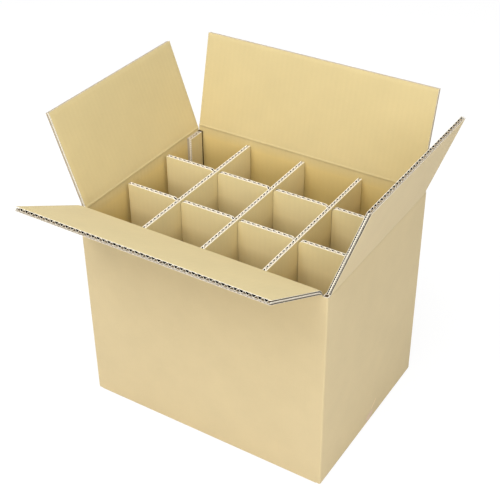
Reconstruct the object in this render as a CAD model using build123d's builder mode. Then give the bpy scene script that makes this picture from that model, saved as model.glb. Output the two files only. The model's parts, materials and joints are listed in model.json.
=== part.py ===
"""Open double-wall carton with an interlocking divider set for twelve bottles.

Millimetres, +Z up. The origin is on the floor under the middle of the carton.
X runs along the long walls, and the front wall is at -Y.
"""
import os
from math import cos, floor, radians, sin, tan

from build123d import *

# Carton, outside sizes and the height of the long flaps' crease above the floor
carton_length = 420.0
carton_width = 314.0
long_crease_height = 359.0

# Double-wall board: three liners, the coarse flute inside and the fine flute outside
liner_thickness = 0.5
coarse_flute_height = 4.2
fine_flute_height = 2.3
coarse_flute_pitch = 8.82
fine_flute_pitch = 6.0

# A flute's hollow takes this share of its pitch and of its height, and paper takes the rest
hollow_share = 0.9

# A board's first and last whole flutes keep at least this far from its side edges
side_edge_margin = 5.0

# Folds, gaps and cuts of the carton's blank
corner_fold_radius = 6.0
bottom_fold_radius = 6.0
end_fold_bevel = 3.0
end_wall_lift = 2.5
raw_edge_gap = 0.5
tab_width = 35.0
flap_seam = 1.0
bottom_seam_offset = 1.0
flap_side_gap = 0.5
stack_gap = 0.3
hinge_gap = 0.3
crushed_band = 8.0
shoulder_angle = 30.0

# How far each flap leans outwards from upright
front_flap_angle = 63.5
back_flap_angle = 13.5
left_flap_angle = 19.5
right_flap_angle = 19.5

# Divider set: single-wall board with the coarse flute, slotted to half its height
divider_columns = 4
divider_rows = 3
divider_liner_thickness = 0.4
long_divider_end_gap = 5.0
cross_divider_end_gap = 2.5
divider_head_gap = 0.3
slot_side_gap = 1.2
slot_end_gap = 0.3
slot_mouth_radius = 5.0

# How far a cutting shape reaches past what it cuts
overrun = 1.0

# Sizes that follow from the ones above
board = 3 * liner_thickness + coarse_flute_height + fine_flute_height
divider_board = 2 * divider_liner_thickness + coarse_flute_height
inner_length = carton_length - 2 * board
inner_width = carton_width - 2 * board
long_flap_span = inner_length - 2 * flap_side_gap
end_flap_span = inner_width - 2 * flap_side_gap
long_wall_middle = (carton_width - board) / 2
end_wall_middle = (carton_length - board) / 2
flap_reach = carton_width / 2 - board / 2 - flap_seam / 2
end_crease_height = long_crease_height - board - stack_gap
long_wall_top = long_crease_height - board / 2 - hinge_gap
end_wall_top = end_crease_height - board / 2 - hinge_gap
floor_top = 2 * board
divider_height = end_crease_height - board / 2 - divider_head_gap - floor_top
column_pitch = (inner_length + divider_board) / divider_columns
row_pitch = (inner_width + divider_board) / divider_rows
upwards = Vector(0, 0, 1)


def hollows(pitch, height, places, base, rise):
    """Draw three-sided flute hollows on the line y = base, pointing up for rise 1 and down for rise -1."""
    half_width = hollow_share * pitch / 2
    tip = base + rise * hollow_share * height
    with Locations(*[(place, 0) for place in places]):
        Polygon((-half_width, base), (half_width, base), (0, tip), align=None)


def flute_row(span, pitch, fewer=0):
    """Give the places of the whole flutes across a board's span, about its middle, or of a few less."""
    count = floor((span - 2 * side_edge_margin) / pitch) - fewer
    return [pitch * (flute - (count - 1) / 2) for flute in range(count)]


def crease(outward):
    """Give the middle of the crease on the wall that faces outward, and the span of its flap."""
    if outward.X:
        return outward * end_wall_middle + upwards * end_crease_height, end_flap_span
    return outward * long_wall_middle + upwards * long_crease_height, long_flap_span


def flap(outward, angle):
    """Make one open flap: a board with a rounded root at its crease and open flutes at its free edge."""
    pivot, span = crease(outward)
    lean = radians(angle)
    along = upwards * cos(lean) + outward * sin(lean)
    outer_normal = outward * cos(lean) - upwards * sin(lean)
    section = Plane(origin=pivot, x_dir=along, z_dir=along.cross(outer_normal))
    free_edge = Plane(origin=pivot + along * flap_reach, x_dir=outer_normal.cross(along), z_dir=along)
    inner_liner = liner_thickness - board / 2
    middle_liner = inner_liner + coarse_flute_height
    outer_liner = board / 2 - liner_thickness
    with BuildPart() as leaf:
        with BuildSketch(section):
            Rectangle(flap_reach, board, align=(Align.MIN, Align.CENTER))
            Circle(board / 2)
        extrude(amount=span / 2, both=True)
        with BuildSketch(free_edge):
            outward_row = flute_row(span, coarse_flute_pitch)
            inward_row = flute_row(span, coarse_flute_pitch, fewer=1)
            fine_row = flute_row(span, fine_flute_pitch)
            hollows(coarse_flute_pitch, coarse_flute_height, outward_row, inner_liner, 1)
            hollows(coarse_flute_pitch, coarse_flute_height, inward_row, middle_liner, -1)
            hollows(fine_flute_pitch, fine_flute_height, fine_row, outer_liner, -1)
        extrude(amount=crushed_band - flap_reach, mode=Mode.SUBTRACT)
    return leaf


def divider(face, length, slot_places, slots_from_above):
    """Make one divider board about its middle plane, with rounded slot mouths and upright flutes.

    Beside a slot that is open at the top, the board is pressed flat.
    """
    slot_width = divider_board + 2 * slot_side_gap
    slot_depth = (divider_height + slot_end_gap) / 2
    mouth = divider_height if slots_from_above else 0
    slot_align = Align.MAX if slots_from_above else Align.MIN
    mouth_group = -1 if slots_from_above else 0
    top_edge = Plane(origin=face.origin + upwards * divider_height, x_dir=face.x_dir, z_dir=upwards)
    with BuildPart() as leaf:
        with BuildSketch(face) as outline:
            Rectangle(length, divider_height, align=(Align.CENTER, Align.MIN))
            with Locations(*[(place, mouth) for place in slot_places]):
                Rectangle(slot_width, slot_depth, align=(Align.CENTER, slot_align), mode=Mode.SUBTRACT)
            edge_corners = outline.vertices().group_by(Axis.Y)[mouth_group].sort_by(Axis.X)
            fillet(edge_corners[1:-1], slot_mouth_radius)
        extrude(amount=divider_board / 2, both=True)
        with BuildSketch(top_edge):
            row = flute_row(length, coarse_flute_pitch)
            if slots_from_above:
                pressed = slot_width / 2 + slot_mouth_radius + coarse_flute_pitch / 2
                row = [place for place in row if all(abs(place - slot) > pressed for slot in slot_places)]
            hollows(coarse_flute_pitch, coarse_flute_height, row, -coarse_flute_height / 2, 1)
        extrude(amount=-divider_height, mode=Mode.SUBTRACT)
    return leaf


# The four top flaps: name, the way out of the carton, and the lean
flap_places = [
    ("front_flap", Vector(0, -1, 0), front_flap_angle),
    ("back_flap", Vector(0, 1, 0), back_flap_angle),
    ("left_flap", Vector(-1, 0, 0), left_flap_angle),
    ("right_flap", Vector(1, 0, 0), right_flap_angle),
]

with BuildPart() as carton:
    # Walls: three rounded folds, and at the back left the left panel's raw edge beside the back wall's fold
    with BuildSketch(Plane.XY.offset(end_wall_lift)) as ring:
        Rectangle(carton_length, carton_width)
        with Locations((-carton_length / 2, carton_width / 2)):
            setback = corner_fold_radius + raw_edge_gap
            Rectangle(board, setback, align=(Align.MIN, Align.MAX), mode=Mode.SUBTRACT)
        left_corners = ring.vertices().group_by(Axis.X)[0]
        folds = ring.vertices().group_by(Axis.X)[-1] + left_corners.sort_by(Axis.Y)[:1]
        folds += ring.vertices().group_by(Axis.Y)[-1].sort_by(Axis.X)[:1]
        fillet(folds, corner_fold_radius)
        Rectangle(inner_length, inner_width, mode=Mode.SUBTRACT)
    extrude(amount=long_wall_top - end_wall_lift)
    end_wall_feet = carton.edges().group_by(Axis.Z)[0].filter_by(Axis.Y).group_by(Axis.X)
    chamfer(end_wall_feet[0] + end_wall_feet[-1], end_fold_bevel)

    # The end walls stop lower than the long walls, so that closed end flaps lie under closed long flaps
    with BuildSketch(Plane.XY.offset(end_wall_top)):
        Rectangle(carton_length + overrun, inner_width)
        with Locations((-inner_length / 2, 0)):
            Rectangle(board + overrun, carton_width / 2, align=(Align.MAX, Align.MIN))
    extrude(amount=long_wall_top - end_wall_top + overrun, mode=Mode.SUBTRACT)

    # The outer half of each wall's top slopes away, to let its flap lean past level
    for name, outward, angle in flap_places:
        pivot, span = crease(outward)
        with BuildSketch(Plane(origin=pivot, x_dir=outward, z_dir=outward.cross(upwards))):
            wall_top = -board / 2 - hinge_gap
            slope_start = wall_top * tan(radians(shoulder_angle / 2))
            slope_end = wall_top - (board - slope_start) * tan(radians(shoulder_angle))
            Polygon((slope_start, 0), (slope_start, wall_top), (board, slope_end), (board, 0), align=None)
        extrude(amount=span / 2, both=True, mode=Mode.SUBTRACT)

    # The glue tab carries on from the back wall and lies on the left wall's inner face
    with BuildSketch(Plane.XY.offset(floor_top)):
        with Locations((-inner_length / 2, inner_width / 2)):
            Rectangle(board, tab_width, align=(Align.MIN, Align.MAX))
    extrude(amount=end_wall_top - floor_top)

    # Bottom, outer layer: the two long flaps fold in from the long walls and meet just behind the middle
    with BuildSketch(Plane.XY):
        Rectangle(inner_length, carton_width)
    extrude(amount=board, mode=Mode.SUBTRACT)
    with BuildSketch(Plane.YZ) as bottom_section:
        Rectangle(carton_width, board, align=(Align.CENTER, Align.MIN))
        fillet(bottom_section.vertices().group_by(Axis.Y)[0], bottom_fold_radius)
        with Locations((bottom_seam_offset, 0)):
            Rectangle(flap_seam, board, align=(Align.CENTER, Align.MIN), mode=Mode.SUBTRACT)
    extrude(amount=long_flap_span / 2, both=True)

    # Bottom, inner layer: the two end flaps fold in from the end walls and lie on the long ones
    with BuildSketch(Plane.XY.offset(board)):
        end_flap_tip = end_wall_middle - flap_reach
        Rectangle(inner_length, end_flap_span)
        Rectangle(2 * end_flap_tip, end_flap_span, mode=Mode.SUBTRACT)
    extrude(amount=board)

flaps = {name: flap(outward, angle) for name, outward, angle in flap_places}

column_places = [column_pitch * (column - divider_columns / 2) for column in range(1, divider_columns)]
row_places = [row_pitch * (row - divider_rows / 2) for row in range(1, divider_rows)]

dividers = {}
for name, y in zip(("front", "back"), row_places):
    face = Plane(origin=(0, y, floor_top), x_dir=(1, 0, 0), z_dir=(0, -1, 0))
    length = inner_length - 2 * long_divider_end_gap
    dividers[f"long_divider_{name}"] = divider(face, length, column_places, True)
for name, x in zip(("left", "middle", "right"), column_places):
    face = Plane(origin=(x, 0, floor_top), x_dir=(0, 1, 0), z_dir=(1, 0, 0))
    length = inner_width - 2 * cross_divider_end_gap
    dividers[f"cross_divider_{name}"] = divider(face, length, row_places, False)

os.makedirs("parts", exist_ok=True)
carton.part.label = "carton"
export_step(carton.part, "parts/carton.step")
for name, piece in {**flaps, **dividers}.items():
    piece.part.label = name
    export_step(piece.part, f"parts/{name}.step")
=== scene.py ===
"""Dress the open bottle carton: corrugated boards with true flutes, kraft paper, soft light and a camera.

Metres, in the part's own frame: +Z up, X along the long walls, and the front wall at -Y.
"""
import json
import math

import bmesh
import bpy
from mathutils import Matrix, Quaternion, Vector


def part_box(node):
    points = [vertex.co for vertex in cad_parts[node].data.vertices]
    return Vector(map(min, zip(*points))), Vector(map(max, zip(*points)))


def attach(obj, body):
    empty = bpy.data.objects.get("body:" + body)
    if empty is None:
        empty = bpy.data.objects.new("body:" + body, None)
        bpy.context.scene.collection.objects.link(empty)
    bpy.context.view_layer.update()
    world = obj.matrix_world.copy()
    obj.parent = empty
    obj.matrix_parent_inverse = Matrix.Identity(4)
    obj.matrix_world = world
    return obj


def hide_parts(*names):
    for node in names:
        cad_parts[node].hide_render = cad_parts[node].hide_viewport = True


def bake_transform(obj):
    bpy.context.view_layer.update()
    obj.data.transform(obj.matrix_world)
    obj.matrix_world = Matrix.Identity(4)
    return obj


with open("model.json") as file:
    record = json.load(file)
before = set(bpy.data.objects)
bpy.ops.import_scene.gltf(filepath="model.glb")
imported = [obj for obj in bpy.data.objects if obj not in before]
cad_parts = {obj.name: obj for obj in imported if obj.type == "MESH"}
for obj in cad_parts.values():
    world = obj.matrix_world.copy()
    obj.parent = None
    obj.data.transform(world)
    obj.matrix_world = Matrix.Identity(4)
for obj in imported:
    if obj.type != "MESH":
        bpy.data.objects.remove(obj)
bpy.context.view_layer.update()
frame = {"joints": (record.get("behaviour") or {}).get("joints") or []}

# Double-wall board of the carton
inner_liner = 0.0007
middle_liner = 0.0005
outer_liner = 0.0007
fine_flute = 0.0015
medium = 0.00045
coarse_pitch = 0.00882
fine_pitch = 0.006
samples_per_flute = 12
flute_inset = 0.0015

# Cut edges: the knife presses the board thinner, and rows at shares of the reach follow that shape
press_share = 0.2
press_reach = 0.004
press_step_shares = (0.4, 0.8, 1.3, 2.0)

# At a free edge a lip of the fluting gets pale painted light in place of the painted shade of the flutes'
# depths, short in the coarse flutes and long in the fine ones
short_painted_lip = 0.0004
long_painted_lip = 0.002

# At the side edges a slope of the fluting nearly closes the coarse gap, with the teeth of the cutting knife.
# It leaves a gap towards the inner liner and one towards the middle liner
closing_inset = 0.0007
closing_gaps = (0.0006, 0.0013)
front_closing_gaps = (0.0021, 0.0002)
tooth_height = 0.002
tooth_pitch = 0.004
rows_per_tooth = 4

# Creases: the board bends round a radius, is crushed from inside and has a scored line outside. Each flap's
# piece starts with a strip of its wall, and as the flap turns it bends within the bend reach of the crease
fold_radius = 0.005
fold_zone = 0.016
fold_rows = 41
wall_strip = 0.02
crush_share = 3.2
crush_reach = 0.008
score_depth = 0.0005
score_reach = 0.0012
crushed_band = 0.017
long_crease_drop = 0.003
# Painted shade darkens the liners along the creases within these reaches, inside and outside
inside_crease_shade_reach = 0.005
outside_crease_shade_reach = 0.0016

# Board inside the carton takes on a deeper tone down to this depth, painted light and shade that stand in
# for light that bounces about and dims further down
painted_shade_depth = 0.08

# Walls and bottom
corner_fold_radius = 0.0025
corner_fold_segments = 6
raw_edge_setback = 0.0065
bottom_fold_segments = 4
end_wall_lift = 0.0025
post_drop = 0.0035
post_rim = 0.0018
tab_width = 0.035
tab_groove = 0.004
tab_fold_depth = 0.0008
bottom_seam = 0.001
bottom_seam_offset = 0.001

# Places nearer than the tolerance count as the same, and so do points of a plan that agree to these digits
tolerance = 0.0005
plan_digits = 6

# A face is upright where the level part of its normal is at least this share of it
upright_share = 0.5

# Edges between faces that meet at more than this angle, in degrees, look sharp
sharp_angle = 35

# Dividers
divider_swell = 0.0007
divider_liner = 0.0014
divider_medium = 0.001
slot_side_gap = 0.0016
slot_end_gap = 0.0003
slot_mouth_radius = 0.0065
slot_mouth_segments = 6

# Colours, linear
outside_kraft = (0.69, 0.556, 0.318)
inside_kraft = (0.675, 0.555, 0.29)
divider_kraft = (0.81, 0.695, 0.388)
cut_edge_cream = (0.93, 0.87, 0.74)
# The tan of the outer layers' cut edges is darker than the cream, partly as painted shade
cut_edge_shaded_tan = (0.7, 0.63, 0.52)
# The flutes' hollows are painted shade: near black in the coarse flute and dark brown in the fine one
coarse_flute_painted_shade = (0.012, 0.008, 0.005)
fine_flute_painted_shade = (0.08, 0.055, 0.03)
# A pale painted light for the lit lips and cells of the flutes
lip_painted_light = (0.62, 0.52, 0.37)
# The dividers' flutes are painted shade on the far side, near black, and painted light on the near side,
# pale
divider_flute_painted_shade = (0.02, 0.014, 0.009)
divider_flute_painted_light = (0.75, 0.66, 0.5)

# Paper: how it takes light
liner_roughness = 0.88
edge_roughness = 0.95
paper_specular = 0.2
paper_sheen = 0.12

# Noises in the paper: scale for each metre, detail and roughness. The liners' fibres are stretched first
mottle_noise = (16, 4, 0.6)
patch_noise = (30, 2, 0.5)
fibre_noise = (1, 3, 0.65)
fibre_stretch = (260, 900, 400)
edge_noise = (900, 3, 0.5)
fluting_noise = (500, 3, 0.5)

# How much the noises change the paper's tone and relief
fibre_tone_share = 0.35
tone_range = (0.35, 1.0)
liner_tone_shares = (0.96, 1.04)
edge_tone_shares = (0.9, 1.05)
fluting_tone_shares = (0.8, 1.2)
# The painted shade of the creases darkens the liner to this share of its colour
crease_shade_tone_share = 0.55
fibre_relief_share = 0.5
relief_strength = 0.25
relief_height = 0.0002

# How strongly the painted shade of the creases and the lines of the flutes show on each liner
inside_crease_shade_share = 0.12
outside_crease_shade_share = 0.6
inside_washboard_share = 0.08
outside_washboard_share = 0.02
divider_washboard_share = 0.1

# Painted light and shade of the board inside the carton, as pairs of a share of that depth and a colour:
# warmer painted bounce light and then painted shade on the walls, painted shade on the dividers
wall_painted_light_and_shade = [(0.0, (1.0, 1.0, 1.0)), (0.25, (1.14, 1.08, 0.87)), (0.8, (0.94, 0.86, 0.6))]
divider_painted_shade = [
    (0.0, (1.0, 1.0, 1.0)),
    (0.5, (0.99, 0.965, 0.935)),
    (0.7, (0.85, 0.8, 0.72)),
    (1.0, (0.72, 0.67, 0.57)),
]

# Wear at the foot of the right wall, a pale scratch and a pink scuff: two ends as (y, z), a reach and a tint
wear_marks = [
    ((0.0256, 0.0311), (0.0125, 0.022), 0.0022, (1.3, 1.22, 1.36)),
    ((0.0125, 0.013), (0.0, 0.009), 0.008, (1.07, 0.97, 1.35)),
]

# Camera, at the photograph's viewing angle
camera_aim = Vector((-0.0148, 0.0092, 0.25))
camera_distance = 1.6602
camera_azimuth = 32.188
camera_elevation = 34.581
camera_roll = -0.486
camera_lens = 76.3
camera_sensor = 36.0

# Floor, which glows white where it is seen directly, and the light from all round
floor_reach = 6.0
floor_drop = 0.0005
floor_grey = (0.86, 0.86, 0.86)
floor_glow = 1.1
floor_glow_share = 0.8
sky_colour = (0.97, 0.99, 1.0)
sky_strength = 0.32
white = (1.0, 1.0, 1.0)

# Soft lights: azimuth from the front towards the right and elevation, in degrees, and power in watts
lamp_side = 1.8
lamp_distance = 3.0
lamps = {
    "key": (0, 60, 56),
    "top_fill": (0, 88, 8),
    "left_fill": (-50, 60, 15),
    "camera_fill": (40, 30, 23),
    "right_fill": (90, 40, 12.5),
    "low_fill": (30, 6, 5),
}

# Sizes that follow from the frame
up = Vector((0, 0, 1))
creases = {joint["child"]: joint for joint in frame["joints"]}
carton_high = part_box("carton")[1]
half_length = carton_high.x
half_width = carton_high.y
end_crease = Vector(creases["right_flap"]["pos_m"])
long_crease = Vector(creases["back_flap"]["pos_m"])
board = 2 * (half_length - end_crease.x)
inner_half_length = half_length - board
inner_half_width = half_width - board
post_top = carton_high.z - post_drop
floor_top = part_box("long_divider_front")[0].z
flap_side_gap = inner_half_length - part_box("back_flap")[1].x


# Materials


# Sockets of the mix node when it mixes colours
mix_share, mix_first, mix_second = 0, 6, 7


def add_node(tree, kind, inputs=(), **settings):
    """Add a shader node with settings. inputs are pairs of a key and what to set there or link to it."""
    node = tree.nodes.new(kind)
    for key, value in settings.items():
        setattr(node, key, value)
    for key, value in inputs:
        if isinstance(value, bpy.types.NodeSocket):
            tree.links.new(value, node.inputs[key])
        else:
            node.inputs[key].default_value = value
    return node


def new_material(name, roughness, specular, sheen):
    """Make a matt material, and return it with its node tree and its shader."""
    material = bpy.data.materials.new(name)
    material.use_nodes = True
    tree = material.node_tree
    tree.nodes.clear()
    shader = add_node(
        tree,
        "ShaderNodeBsdfPrincipled",
        [("Roughness", roughness), ("Specular IOR Level", specular), ("Sheen Weight", sheen)],
    )
    add_node(tree, "ShaderNodeOutputMaterial", [("Surface", shader.outputs[0])])
    return material, tree, shader


def shade(colour, factor):
    """Give a colour made darker or lighter."""
    return tuple(factor * channel for channel in colour)


def add_ramp(tree, share, stops):
    """Add a colour ramp with stops in order, as pairs of a place and a colour, and return its colour."""
    ramp = add_node(tree, "ShaderNodeValToRGB", [(0, share)])
    elements = ramp.color_ramp.elements
    for place, _ in stops[1:-1]:
        elements.new(place)
    for element, (place, colour) in zip(elements, stops):
        element.position = place
        element.color = (*colour, 1)
    return ramp.outputs[0]


def toned_between(tree, share, colour, tone_shares):
    """Shade a colour between a darker and a lighter tone, as a share says, and return the new colour."""
    dark, light = tone_shares
    return add_ramp(tree, share, [(0.0, shade(colour, dark)), (1.0, shade(colour, light))])


def add_noise(tree, place, noise):
    """Add a noise at a place, and return its value."""
    scale, detail, roughness = noise
    return add_node(
        tree,
        "ShaderNodeTexNoise",
        [("Vector", place), ("Scale", scale), ("Detail", detail), ("Roughness", roughness)],
    ).outputs[0]


def tinted(tree, colour, share, tint):
    """Multiply a colour by a tint, as far as a share says, and return the new colour."""
    return add_node(
        tree,
        "ShaderNodeMix",
        [(mix_share, share), (mix_first, colour), (mix_second, tint)],
        data_type="RGBA",
        blend_type="MULTIPLY",
    ).outputs[2]


def fading(tree, distance, reach, strength):
    """Give a strength that fades smoothly to nothing within a reach."""
    return add_node(
        tree,
        "ShaderNodeMapRange",
        [("Value", distance), ("From Max", reach), ("To Min", strength), ("To Max", 0.0)],
        interpolation_type="SMOOTHSTEP",
    ).outputs[0]


def marked(tree, colour, start, end, reach, tint):
    """Tint a colour near the line between two places on the right wall, and return the new colour."""
    start = Vector((half_length, *start))
    line = Vector((half_length, *end)) - start
    line_share = line / line.length_squared
    place = add_node(tree, "ShaderNodeTexCoord").outputs["Object"]
    offset = add_node(
        tree, "ShaderNodeVectorMath", [(0, place), (1, start)], operation="SUBTRACT"
    ).outputs[0]
    along = add_node(
        tree, "ShaderNodeVectorMath", [(0, offset), (1, line_share)], operation="DOT_PRODUCT"
    ).outputs["Value"]
    along = add_node(tree, "ShaderNodeClamp", [(0, along)]).outputs[0]
    nearest = add_node(
        tree, "ShaderNodeVectorMath", [(0, line), ("Scale", along)], operation="SCALE"
    ).outputs[0]
    distance = add_node(
        tree, "ShaderNodeVectorMath", [(0, offset), (1, nearest)], operation="DISTANCE"
    ).outputs["Value"]
    return tinted(tree, colour, fading(tree, distance, reach, 1.0), (*tint, 1))


def kraft(name, colour, pitch, washboard_share, crease_shade_reach=0.0, crease_shade_share=0.0, painted_depth_shading=(), marks=()):
    """Make kraft liner: mottled, with short fibres, faint lines of the flutes below it, painted shade along
    the creases and painted light and shade by depth inside the carton.
    """
    material, tree, shader = new_material(name, liner_roughness, paper_specular, paper_sheen)
    paper = add_node(tree, "ShaderNodeAttribute", attribute_name="paper").outputs["Vector"]
    axes = add_node(tree, "ShaderNodeSeparateXYZ", [(0, paper)]).outputs

    mottle = add_noise(tree, paper, mottle_noise)
    stretched = add_node(
        tree, "ShaderNodeVectorMath", [(0, paper), (1, fibre_stretch)], operation="MULTIPLY"
    ).outputs[0]
    fibres = add_noise(tree, stretched, fibre_noise)
    turns = add_node(tree, "ShaderNodeMath", [(0, axes[0]), (1, 2 * math.pi / pitch)], operation="MULTIPLY")
    ridges = add_node(tree, "ShaderNodeMath", [(0, turns.outputs[0])], operation="SINE").outputs[0]
    patches = add_noise(tree, paper, patch_noise)
    washboard = add_node(
        tree, "ShaderNodeMath", [(0, ridges), (1, patches)], operation="MULTIPLY"
    ).outputs[0]

    tone = add_node(
        tree, "ShaderNodeMath", [(0, fibres), (1, fibre_tone_share), (2, mottle)], operation="MULTIPLY_ADD"
    ).outputs[0]
    tone = add_node(
        tree, "ShaderNodeMath", [(0, washboard), (1, washboard_share), (2, tone)], operation="MULTIPLY_ADD"
    ).outputs[0]
    low, high = tone_range
    tone = add_node(
        tree, "ShaderNodeMapRange", [("Value", tone), ("From Min", low), ("From Max", high)]
    ).outputs[0]
    toned = toned_between(tree, tone, colour, liner_tone_shares)

    # Painted light and shade by depth inside the carton
    if painted_depth_shading:
        depth = add_node(
            tree, "ShaderNodeMapRange", [("Value", axes[1]), ("From Min", 0.0), ("From Max", -painted_shade_depth)]
        ).outputs[0]
        toned = tinted(tree, toned, 1.0, add_ramp(tree, depth, painted_depth_shading))
    for mark in marks:
        toned = marked(tree, toned, *mark)
    # Painted shade along the crease
    if crease_shade_share:
        distance = add_node(tree, "ShaderNodeMath", [(0, axes[1])], operation="ABSOLUTE").outputs[0]
        crease_shade = fading(tree, distance, crease_shade_reach, crease_shade_share)
        dark = (*shade(colour, crease_shade_tone_share), 1)
        toned = add_node(
            tree,
            "ShaderNodeMix",
            [(mix_share, crease_shade), (mix_first, toned), (mix_second, dark)],
            data_type="RGBA",
        ).outputs[2]
    tree.links.new(toned, shader.inputs["Base Color"])

    relief = add_node(
        tree,
        "ShaderNodeMath",
        [(0, fibres), (1, fibre_relief_share), (2, washboard)],
        operation="MULTIPLY_ADD",
    ).outputs[0]
    bump = add_node(
        tree,
        "ShaderNodeBump",
        [("Strength", relief_strength), ("Distance", relief_height), ("Height", relief)],
    )
    tree.links.new(bump.outputs[0], shader.inputs["Normal"])
    return material


def plain_paper(name, colour, noise, tone_shares, specular, sheen):
    """Make paper of one colour with a fine noise."""
    material, tree, shader = new_material(name, edge_roughness, specular, sheen)
    paper = add_node(tree, "ShaderNodeAttribute", attribute_name="paper").outputs["Vector"]
    toned = toned_between(tree, add_noise(tree, paper, noise), colour, tone_shares)
    tree.links.new(toned, shader.inputs["Base Color"])
    return material


def cut_edge(name, colour):
    """Make the pale, fuzzy edge of cut board."""
    return plain_paper(name, colour, edge_noise, edge_tone_shares, paper_specular, paper_sheen)


def fluting(name, colour):
    """Make the paper of the flutes, without any gloss or sheen."""
    return plain_paper(name, colour, fluting_noise, fluting_tone_shares, 0.0, 0.0)


# The skins of a piece, in their order. A divider has the first five
inside_skin, outside_skin, coarse_skin, fine_skin, edge_skin, lip_painted_light_skin, outer_edge_skin = range(7)
cut_paper = cut_edge("cut_edge", cut_edge_cream)
lip_painted_light_paper = fluting("lip_painted_light_fluting", lip_painted_light)
carton_skins = [
    kraft(
        "kraft_inside",
        inside_kraft,
        coarse_pitch,
        inside_washboard_share,
        inside_crease_shade_reach,
        inside_crease_shade_share,
        painted_depth_shading=wall_painted_light_and_shade,
    ),
    kraft(
        "kraft_outside",
        outside_kraft,
        fine_pitch,
        outside_washboard_share,
        outside_crease_shade_reach,
        outside_crease_shade_share,
        marks=wear_marks,
    ),
    # The skins of the flutes' hollows are painted shade, and the lip's skin is painted light
    fluting("coarse_flute_shade_paper", coarse_flute_painted_shade),
    fluting("fine_flute_shade_paper", fine_flute_painted_shade),
    cut_paper,
    lip_painted_light_paper,
    cut_edge("cut_outer_edge_shaded", cut_edge_shaded_tan),
]

# Light reaches further into the flutes of the flaps that show their inner face, and of the flat boards, so
# their flutes get the pale painted light in place of the dark painted shade
painted_light_flaps = ("back_flap", "left_flap")
painted_light_skins = [*carton_skins[:coarse_skin], lip_painted_light_paper, lip_painted_light_paper, *carton_skins[edge_skin:]]
divider_paper = kraft(
    "kraft_divider", divider_kraft, coarse_pitch, divider_washboard_share, painted_depth_shading=divider_painted_shade
)
divider_skins = [
    divider_paper,
    divider_paper,
    fluting("divider_painted_shade_fluting", divider_flute_painted_shade),
    fluting("divider_painted_light_fluting", divider_flute_painted_light),
    cut_paper,
]


# Sheets and boards


def new_sheets():
    """Start a mesh whose vertices carry paper coordinates: across the flutes, along them and through."""
    bm = bmesh.new()
    bm.verts.layers.float_vector.new("paper")
    return bm


def add_point(bm, place, across, along, through):
    """Add a vertex at a place in the board, with its paper coordinates."""
    vertex = bm.verts.new(place(across, along, through))
    vertex[bm.verts.layers.float_vector["paper"]] = (across, along, through)
    return vertex


def add_face(bm, corners, skin):
    """Add a face with one of the piece's skins."""
    bm.faces.new(corners).material_index = skin


def flat(offset):
    """Describe a flat sheet at an offset through the board."""
    return lambda across: (offset, 0.0)


def wave(low, high, thickness, pitch, start):
    """Describe a fluted sheet by its offset and slope. At the start it rises from its middle offset."""
    middle = (low + high) / 2
    swing = (high - low - thickness) / 2
    turn = 2 * math.pi / pitch

    def shape(across):
        angle = turn * (across - start)
        return middle + swing * math.sin(angle), swing * turn * math.cos(angle)

    return shape


def add_sheet(bm, columns, rows, shape, thickness, place, skins, lip=None):
    """Add one closed sheet of paper.

    rows gives the places along each column, and skins are those of its two faces and its edges.
    With a lip, that skin of painted light goes on the last row of faces that would have the dark painted
    shade of the flutes' depths.
    """
    grids = []
    for side in (-1, 1):
        grid = []
        for across in columns:
            offset, slope = shape(across)
            step = side * thickness / 2 / math.hypot(1, slope)
            shifted = across - step * slope
            grid.append([add_point(bm, place, shifted, along, offset + step) for along in rows(across)])
        grids.append(grid)
    last_column = len(columns) - 1
    last_row = len(grids[0][0]) - 1
    for grid, skin in zip(grids, skins):
        for i in range(last_column):
            for j in range(last_row):
                # The lip's row gets painted light in place of the painted shade
                lit = lip is not None and j == last_row - 1 and skin in (coarse_skin, fine_skin)
                corners = (grid[i][j], grid[i + 1][j], grid[i + 1][j + 1], grid[i][j + 1])
                add_face(bm, corners, lip if lit else skin)
    low, high = grids
    for i in range(last_column):
        for j in (0, last_row):
            add_face(bm, (low[i][j], low[i + 1][j], high[i + 1][j], high[i][j]), skins[2])
    for j in range(last_row):
        for i in (0, last_column):
            add_face(bm, (low[i][j], low[i][j + 1], high[i][j + 1], high[i][j]), skins[2])


def add_fluting(bm, low, high, rows, base, top, thickness, pitch, place, skins, lip=None):
    """Add a fluted sheet with whole flutes between two side edges."""
    flutes = round((high - low) / pitch)
    shape = wave(base, top, thickness, (high - low) / flutes, low)
    steps = flutes * samples_per_flute
    first, last = low + flute_inset, high - flute_inset
    columns = [first + (last - first) * step / steps for step in range(steps + 1)]
    add_sheet(bm, columns, rows, shape, thickness, place, skins, lip)


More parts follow.
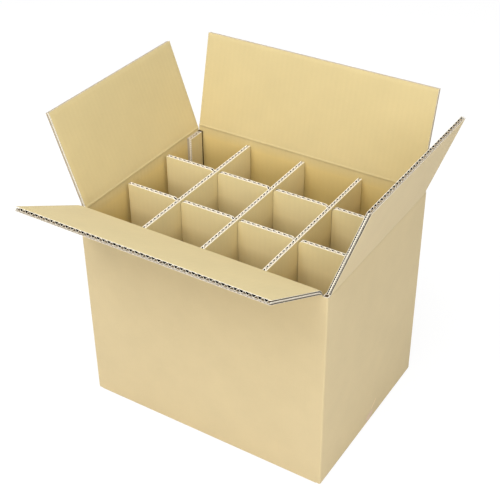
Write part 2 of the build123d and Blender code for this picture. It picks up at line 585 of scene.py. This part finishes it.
def add_double_wall(bm, low, high, liner_rows, flute_rows, place, gaps):
    """Add a double-wall board: coarse flute towards -through, the inside, and fine flute outside."""
    coarse_base = inner_liner - board / 2
    fine_top = board / 2 - outer_liner
    fine_base = fine_top - fine_flute
    coarse_top = fine_base - middle_liner
    # In the coarse flute the inner liner and the fluting's low face take dark painted shade, and the
    # fluting's high face and the middle liner's low face take the pale painted light. The fine flute takes
    # dark brown painted shade on both sides
    liners = [
        (coarse_base - inner_liner / 2, inner_liner, (inside_skin, coarse_skin, edge_skin)),
        (coarse_top + middle_liner / 2, middle_liner, (lip_painted_light_skin, fine_skin, outer_edge_skin)),
        (fine_top + outer_liner / 2, outer_liner, (fine_skin, outside_skin, outer_edge_skin)),
    ]
    insets = [0.0, *(step * press_reach for step in press_step_shares)]
    columns = [low + inset for inset in insets] + [high - inset for inset in reversed(insets)]
    for offset, thickness, skins in liners:
        add_sheet(bm, columns, lambda across: liner_rows, flat(offset), thickness, place, skins, lip_painted_light_skin)
    *deep_rows, free_edge = flute_rows
    forward = math.copysign(1, free_edge - deep_rows[0])
    flutings = [
        (coarse_base, coarse_top, coarse_pitch, short_painted_lip, (coarse_skin, lip_painted_light_skin, edge_skin)),
        (fine_base, fine_top, fine_pitch, long_painted_lip, (fine_skin, fine_skin, outer_edge_skin)),
    ]
    for base, top, pitch, lip, skins in flutings:
        lip_start = free_edge - forward * lip
        rows = [*(row for row in deep_rows if forward * (lip_start - row) > 0), lip_start, free_edge]
        add_fluting(bm, low, high, lambda across: rows, base, top, medium, pitch, place, skins, lip_painted_light_skin)

    # The slope that nearly closes the coarse gap has columns through the board, and teeth on its inner side
    def toothed(through, along, across):
        tooth = tooth_height * math.cos(math.pi * along / tooth_pitch) ** 2
        return place(across, along, through + tooth * (coarse_top - through) / (coarse_top - coarse_base))

    length = free_edge - liner_rows[0]
    steps = math.ceil(abs(length) / tooth_pitch) * rows_per_tooth
    tooth_rows = [liner_rows[0] + length * step / steps for step in range(steps + 1)]
    inner_gap, outer_gap = gaps
    for side in (low + closing_inset, high - closing_inset):
        add_sheet(
            bm,
            (coarse_base + inner_gap, coarse_top - outer_gap),
            lambda through: tooth_rows,
            flat(side),
            medium,
            toothed,
            (edge_skin, edge_skin, edge_skin),
        )


def make_piece(name, bm, skins):
    """Turn finished sheets into a piece."""
    bmesh.ops.recalc_face_normals(bm, faces=bm.faces)
    mesh = bpy.data.meshes.new(name)
    bm.to_mesh(mesh)
    bm.free()
    for skin in skins:
        mesh.materials.append(skin)
    mesh.shade_smooth()
    mesh.set_sharp_from_angle(angle=math.radians(sharp_angle))
    piece = bpy.data.objects.new(name, mesh)
    bpy.context.scene.collection.objects.link(piece)
    return piece


# Top flaps


def flap(name):
    """Make one top flap: its board runs from a strip of its wall round the crease to the free edge."""
    joint = creases[name]
    pivot = Vector(joint["pos_m"])
    axis = Vector(joint["axis"])
    outward = axis.cross(up)

    # A flap closes to level, so its lean at rest follows from its range, and its reach from its box
    solid_lean = math.radians(-joint["range_deg"][0]) - math.pi / 2
    low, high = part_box(name)
    half_span = abs((high - low).dot(axis)) / 2
    solid_reach = (high.z - pivot.z - board / 2 * math.sin(solid_lean)) / math.cos(solid_lean)
    tip = pivot + (up * math.cos(solid_lean) + outward * math.sin(solid_lean)) * solid_reach

    # The scored line of the long flaps lies a little below their pivot
    score = pivot - up * (long_crease_drop if outward.y else 0.0)
    reach = (tip - score).length
    lean = math.atan2((tip - score).dot(outward), (tip - score).dot(up))
    tangent = fold_radius * math.tan(lean / 2)
    half_arc = fold_radius * lean / 2
    bend_centre = score - up * tangent + outward * fold_radius
    crush = crush_share * math.sin(lean / 2) ** 2
    free_edge = reach - tangent + half_arc

    def place(across, along, through):
        turn = min(max(along / fold_radius + lean / 2, 0), lean)
        normal = outward * math.cos(turn) - up * math.sin(turn)
        forward = up * math.cos(turn) + outward * math.sin(turn)
        straight = along - fold_radius * (turn - lean / 2)
        crushed = 1 - crush * math.exp(-((along / crush_reach) ** 2))
        scored = score_depth * math.exp(-((along / score_reach) ** 2))
        inset = min(free_edge - along, half_span - abs(across))
        past_crease = min(max(along / crush_reach, 0), 1)
        below_crease = min(max(-along / crush_reach, 0), 1)
        pressed = 1 - press_share * math.exp(-((inset / press_reach) ** 2)) * past_crease
        offset = board / 2 - (board / 2 - through * pressed) * crushed - scored
        widened = 1 + flap_side_gap / half_span * below_crease
        return bend_centre + forward * straight + normal * (offset - fold_radius) + axis * across * widened

    strip_start = tangent - half_arc - wall_strip
    fold_step = 2 * fold_zone / (fold_rows - 1)
    fold_places = [fold_step * row - fold_zone for row in range(fold_rows)]
    edge_places = [free_edge - step * press_reach for step in reversed(press_step_shares)] + [free_edge]
    liner_rows = [strip_start, *fold_places, *edge_places]
    gaps = front_closing_gaps if name == "front_flap" else closing_gaps
    bm = new_sheets()
    add_double_wall(bm, -half_span, half_span, liner_rows, [crushed_band, *edge_places], place, gaps)
    skins = painted_light_skins if name in painted_light_flaps else carton_skins
    piece = make_piece(f"{name}_board", bm, skins)
    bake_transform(piece)
    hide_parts(name)


# Carton walls, glue tab and bottom


def arc(centre, radius, first, last, segments):
    """Give the points of an arc in a plane, between two angles in degrees."""
    points = []
    for index in range(segments + 1):
        angle = math.radians(first + (last - first) * index / segments)
        points.append((centre[0] + radius * math.cos(angle), centre[1] + radius * math.sin(angle)))
    return points


def post(side_x, side_y):
    """Give the plan of a corner post, with its rounded fold."""
    centre = (half_length - corner_fold_radius, half_width - corner_fold_radius)
    fold = arc(centre, corner_fold_radius, 0, 90, corner_fold_segments)
    plan = [(half_length, inner_half_width), *fold, (inner_half_length, half_width)]
    plan.append((inner_half_length, inner_half_width))
    return [(side_x * x, side_y * y) for x, y in plan]


def corners_of(faces):
    """Give the vertices of some faces, each once."""
    return {vertex for face in faces for vertex in face.verts}


def raise_faces(bm, faces, height):
    """Extrude faces up or down to a height, and return the new faces."""
    made = bmesh.ops.extrude_face_region(bm, geom=faces)["geom"]
    ends = [item for item in made if isinstance(item, bmesh.types.BMFace)]
    for vertex in corners_of(ends):
        vertex.co.z = height
    return ends


def carton_walls():
    """Make the walls up to the strips that belong to the flaps, with the corner posts between the flaps."""
    fold_centre = (-inner_half_length + corner_fold_radius, half_width - corner_fold_radius)
    back_fold = arc(fold_centre, corner_fold_radius, 90, 180, corner_fold_segments)
    x, y = inner_half_length, inner_half_width
    raw_edge = half_width - raw_edge_setback
    plans = [
        post(-1, -1),
        post(1, -1),
        post(1, 1),
        [(-x, -half_width), (x, -half_width), (x, -y), (-x, -y)],
        [(x, y), (x, half_width), *back_fold, (-x, y)],
        [(x, -y), (half_length, -y), (half_length, y), (x, y)],
        [(-half_length, -y), (-x, -y), (-x, raw_edge), (-half_length, raw_edge)],
    ]
    bm = bmesh.new()
    vertices = {}

    def vertex_at(point):
        key = tuple(round(value, plan_digits) for value in point)
        if key not in vertices:
            vertices[key] = bm.verts.new((*point, end_wall_lift))
        return vertices[key]

    feet = [bm.faces.new([vertex_at(point) for point in plan]) for plan in plans]
    tops = raise_faces(bm, feet, end_crease.z - wall_strip)
    long_tops = [face for face in tops if abs(face.calc_center_median().y) > inner_half_width]
    higher = raise_faces(bm, long_tops, long_crease.z - long_crease_drop - wall_strip)
    bmesh.ops.delete(bm, geom=long_tops, context="FACES_ONLY")
    post_tops = [face for face in higher if abs(face.calc_center_median().x) > inner_half_length]
    raise_faces(bm, post_tops, post_top)
    bmesh.ops.delete(bm, geom=post_tops, context="FACES_ONLY")

    # The feet of the long walls go on down into the rounded folds of the bottom flaps
    soles = [
        face
        for face in feet
        if abs(face.calc_center_median().y) > inner_half_width
        and abs(face.calc_center_median().x) < inner_half_length
    ]
    turns = [math.pi / 2 * step / bottom_fold_segments for step in range(bottom_fold_segments + 1)]
    for before, after in zip(turns, turns[1:]):
        lower = raise_faces(bm, soles, end_wall_lift * (1 - math.sin(after)))
        bmesh.ops.delete(bm, geom=soles, context="FACES_ONLY")
        soles = lower
        step_in = end_wall_lift * (math.cos(before) - math.cos(after))
        for vertex in corners_of(soles):
            if abs(vertex.co.y) > inner_half_width + tolerance:
                vertex.co.y -= math.copysign(step_in, vertex.co.y)
    bmesh.ops.recalc_face_normals(bm, faces=bm.faces)

    # The cut tops of the posts are flat caps with the dark painted shade of flutes inside a pale rim
    painted_shade_caps = [face for face in bm.faces if face.calc_center_median().z > post_top - tolerance]
    rims = bmesh.ops.inset_individual(bm, faces=painted_shade_caps, thickness=post_rim)["faces"]

    paper = bm.loops.layers.float_vector.new("paper")
    for face in bm.faces:
        centre = face.calc_center_median()
        inner = max(abs(centre.x) - inner_half_length, abs(centre.y) - inner_half_width) < tolerance
        at_raw_edge = abs(centre.y - raw_edge) < tolerance and centre.x < -inner_half_length
        # The caps take the fine flutes' dark painted shade
        if face in painted_shade_caps:
            face.material_index = fine_skin
        elif face in rims or at_raw_edge:
            face.material_index = outer_edge_skin
        else:
            face.material_index = inside_skin if inner else outside_skin
        level = Vector((face.normal.x, face.normal.y, 0))
        if level.length < upright_share:
            level = Vector((0, 1, 0))
        outward = (level if level.dot(centre) > 0 else -level).normalized()
        across = up.cross(outward)
        height = long_crease.z if abs(outward.y) > abs(outward.x) else end_crease.z
        through = (-1 if inner else 1) * board / 2
        for loop in face.loops:
            loop[paper] = (across.dot(loop.vert.co), loop.vert.co.z - height, through)
    piece = make_piece("carton_walls", bm, carton_skins)
    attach(piece, "carton")
    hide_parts("carton")


def flat_board(name, low, high, start, free_edge, place):
    """Make a flat double-wall board that rides with the carton."""
    bm = new_sheets()
    add_double_wall(bm, low, high, [start, free_edge], [start, free_edge], place, closing_gaps)
    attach(make_piece(name, bm, painted_light_skins), "carton")


def glue_tab():
    """Make the glue tab on the left wall's inner face, and the crushed fold between it and the back wall as
    a sheet with dark painted shade all over.
    """
    middle = board / 2 - inner_half_length
    rows = [floor_top, end_crease.z - board / 2]
    fold_start = inner_half_width - tab_groove

    def place(across, along, through):
        return Vector((middle - through, across, along))

    flat_board("glue_tab", inner_half_width - tab_width, fold_start, *rows, place)
    # The fold is a sheet in the groove, coloured all over with the fine flutes' dark painted shade
    bm = new_sheets()
    add_sheet(
        bm,
        (fold_start, inner_half_width),
        lambda across: rows,
        flat(tab_fold_depth / 2),
        board - tab_fold_depth,
        place,
        (fine_skin, fine_skin, fine_skin),
    )
    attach(make_piece("glue_tab_fold_shade", bm, carton_skins), "carton")


def bottom_flaps():
    """Make the four closed bottom flaps: the long pair under the end pair."""
    half_span = inner_half_length - flap_side_gap
    for name, side in (("front", -1), ("back", 1)):
        free_edge = bottom_seam_offset + side * bottom_seam / 2
        flat_board(
            f"bottom_flap_{name}",
            -half_span,
            half_span,
            side * inner_half_width,
            free_edge,
            lambda across, along, through: Vector((across, along, board / 2 - through)),
        )
    half_span = inner_half_width - flap_side_gap
    reach = half_width - board / 2 - bottom_seam / 2
    for name, side in (("left", -1), ("right", 1)):
        flat_board(
            f"bottom_flap_{name}",
            -half_span,
            half_span,
            side * inner_half_length,
            side * (end_crease.x - reach),
            lambda across, along, through: Vector((along, across, 3 * board / 2 - through)),
        )


# Dividers


def divider(name, along_axis, crossing, slots_from_above):
    """Make one slotted single-wall divider board."""
    low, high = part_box(name)
    size = high - low
    across_axis = up.cross(along_axis)
    solid_thickness = abs(size.dot(across_axis))
    thickness = solid_thickness + 2 * divider_swell
    middle = (low + high).dot(across_axis) / 2
    start, end = sorted((low.dot(along_axis), high.dot(along_axis)))
    slots = sorted(sum(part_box(other), Vector()).dot(along_axis) / 2 for other in crossing)
    half_slot = solid_thickness / 2 + slot_side_gap
    depth = (size.z + slot_end_gap) / 2
    radius = slot_mouth_radius

    def place(along, level, through):
        return along_axis * along + across_axis * (middle + through) + up * (high.z + level)

    def level_of(height):
        """Turn a height above the slotted edge into a level under the top edge."""
        return -height if slots_from_above else height - size.z

    # The outline, with its heights measured from the slotted edge
    outline = [(start, size.z), (end, size.z), (end, 0.0)]
    for slot in reversed(slots):
        outline += arc((slot + half_slot + radius, radius), radius, -90, -180, slot_mouth_segments)
        outline += [(slot + half_slot, depth), (slot - half_slot, depth)]
        outline += arc((slot - half_slot - radius, radius), radius, 0, -90, slot_mouth_segments)
    outline.append((start, 0.0))

    bm = new_sheets()
    # The near liner's inner face takes the pale painted light and the far one's the dark painted shade; the
    # slot sides below the rounded mouths take the dark painted shade
    for side, lining in ((-1, fine_skin), (1, coarse_skin)):
        faces = []
        for through in (side * thickness / 2, side * (thickness / 2 - divider_liner)):
            faces.append(
                [add_point(bm, place, along, level_of(height), through) for along, height in outline]
            )
        add_face(bm, faces[0], outside_skin)
        add_face(bm, faces[1], lining)
        for index in range(len(outline)):
            slot_side_shade = radius <= min(outline[index - 1][1], outline[index][1]) < size.z
            add_face(
                bm,
                (faces[0][index - 1], faces[0][index], faces[1][index], faces[1][index - 1]),
                coarse_skin if slot_side_shade else edge_skin,
            )

    def mouth_drop(along):
        """How far the slotted edge falls back at a place along the board."""
        distance = min(abs(along - slot) for slot in slots) - half_slot - divider_medium
        if distance <= 0:
            return depth + divider_medium
        if distance >= radius:
            return 0.0
        return radius - math.sqrt(radius**2 - (radius - distance) ** 2)

    # The fluting's near face takes painted light and its far face painted shade
    flute = thickness / 2 - divider_liner
    add_fluting(
        bm,
        start,
        end,
        lambda along: [level_of(mouth_drop(along)), level_of(size.z)],
        -flute,
        flute,
        divider_medium,
        coarse_pitch,
        place,
        (fine_skin, coarse_skin, edge_skin),
    )
    piece = make_piece(f"{name}_board", bm, divider_skins)
    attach(piece, "carton")
    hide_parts(name)


for flap_name in creases:
    flap(flap_name)
carton_walls()
glue_tab()
bottom_flaps()
long_dividers = ["long_divider_front", "long_divider_back"]
cross_dividers = ["cross_divider_left", "cross_divider_middle", "cross_divider_right"]
for divider_name in long_dividers:
    divider(divider_name, Vector((1, 0, 0)), cross_dividers, True)
for divider_name in cross_dividers:
    divider(divider_name, Vector((0, 1, 0)), long_dividers, False)


# Stage, light and camera


def seen_directly(tree):
    """Give 1 for rays from the camera, from mirrors and through glass, and 0 for light on the object."""
    path = add_node(tree, "ShaderNodeLightPath").outputs
    mirrored = add_node(
        tree,
        "ShaderNodeMath",
        [(0, path["Is Glossy Ray"]), (1, path["Is Transmission Ray"])],
        operation="MAXIMUM",
    ).outputs[0]
    return add_node(
        tree, "ShaderNodeMath", [(0, path["Is Camera Ray"]), (1, mirrored)], operation="MAXIMUM"
    ).outputs[0]


def floor():
    """Lay a pale floor that looks white and still shows a soft shadow."""
    mesh = bpy.data.meshes.new("floor")
    sides = ((-1, -1), (1, -1), (1, 1), (-1, 1))
    corners = [(x * floor_reach, y * floor_reach, -floor_drop) for x, y in sides]
    mesh.from_pydata(corners, [], [(0, 1, 2, 3)])
    material = bpy.data.materials.new("floor")
    material.use_nodes = True
    tree = material.node_tree
    tree.nodes.clear()
    matt = add_node(tree, "ShaderNodeBsdfDiffuse", [("Color", (*floor_grey, 1))])
    glow = add_node(tree, "ShaderNodeEmission", [("Color", (*white, 1)), ("Strength", floor_glow)])
    share = add_node(
        tree, "ShaderNodeMath", [(0, seen_directly(tree)), (1, floor_glow_share)], operation="MULTIPLY"
    )
    mix = add_node(
        tree, "ShaderNodeMixShader", [(0, share.outputs[0]), (1, matt.outputs[0]), (2, glow.outputs[0])]
    )
    add_node(tree, "ShaderNodeOutputMaterial", [("Surface", mix.outputs[0])])
    mesh.materials.append(material)
    ground = bpy.data.objects.new("floor", mesh)
    bpy.context.scene.collection.objects.link(ground)


def surroundings():
    """Light the object evenly from all round, in front of a white background."""
    world = bpy.data.worlds.new("studio")
    bpy.context.scene.world = world
    world.use_nodes = True
    tree = world.node_tree
    tree.nodes.clear()
    light = add_node(tree, "ShaderNodeBackground", [("Color", (*sky_colour, 1)), ("Strength", sky_strength)])
    backdrop = add_node(tree, "ShaderNodeBackground", [("Color", (*white, 1)), ("Strength", 1.0)])
    mix = add_node(
        tree,
        "ShaderNodeMixShader",
        [(0, seen_directly(tree)), (1, light.outputs[0]), (2, backdrop.outputs[0])],
    )
    add_node(tree, "ShaderNodeOutputWorld", [("Surface", mix.outputs[0])])


def direction(azimuth, elevation):
    """Give the way out from the carton. The azimuth turns from the front towards the right, in degrees."""
    azimuth, elevation = math.radians(azimuth), math.radians(elevation)
    level = Vector((math.sin(azimuth), -math.cos(azimuth), 0))
    return level * math.cos(elevation) + up * math.sin(elevation)


def soft_light(name, azimuth, elevation, power):
    """Hang a square soft light that points at the carton."""
    lamp = bpy.data.lights.new(name, "AREA")
    lamp.size = lamp_side
    lamp.energy = power
    light = bpy.data.objects.new(name, lamp)
    way = direction(azimuth, elevation)
    light.location = camera_aim + way * lamp_distance
    light.rotation_mode = "QUATERNION"
    light.rotation_quaternion = (-way).to_track_quat("-Z", "Y")
    bpy.context.scene.collection.objects.link(light)


def camera():
    """Place the camera."""
    back = direction(camera_azimuth, camera_elevation)
    data = bpy.data.cameras.new("camera")
    data.sensor_width = camera_sensor
    data.lens = camera_lens
    eye = bpy.data.objects.new("camera", data)
    eye.location = camera_aim + back * camera_distance
    eye.rotation_mode = "QUATERNION"
    roll = Quaternion((0, 0, 1), math.radians(camera_roll))
    eye.rotation_quaternion = (-back).to_track_quat("-Z", "Y") @ roll
    bpy.context.scene.collection.objects.link(eye)
    bpy.context.scene.camera = eye


floor()
surroundings()
for lamp_name, setting in lamps.items():
    soft_light(lamp_name, *setting)
camera()
bpy.context.scene.view_settings.view_transform = "Standard"
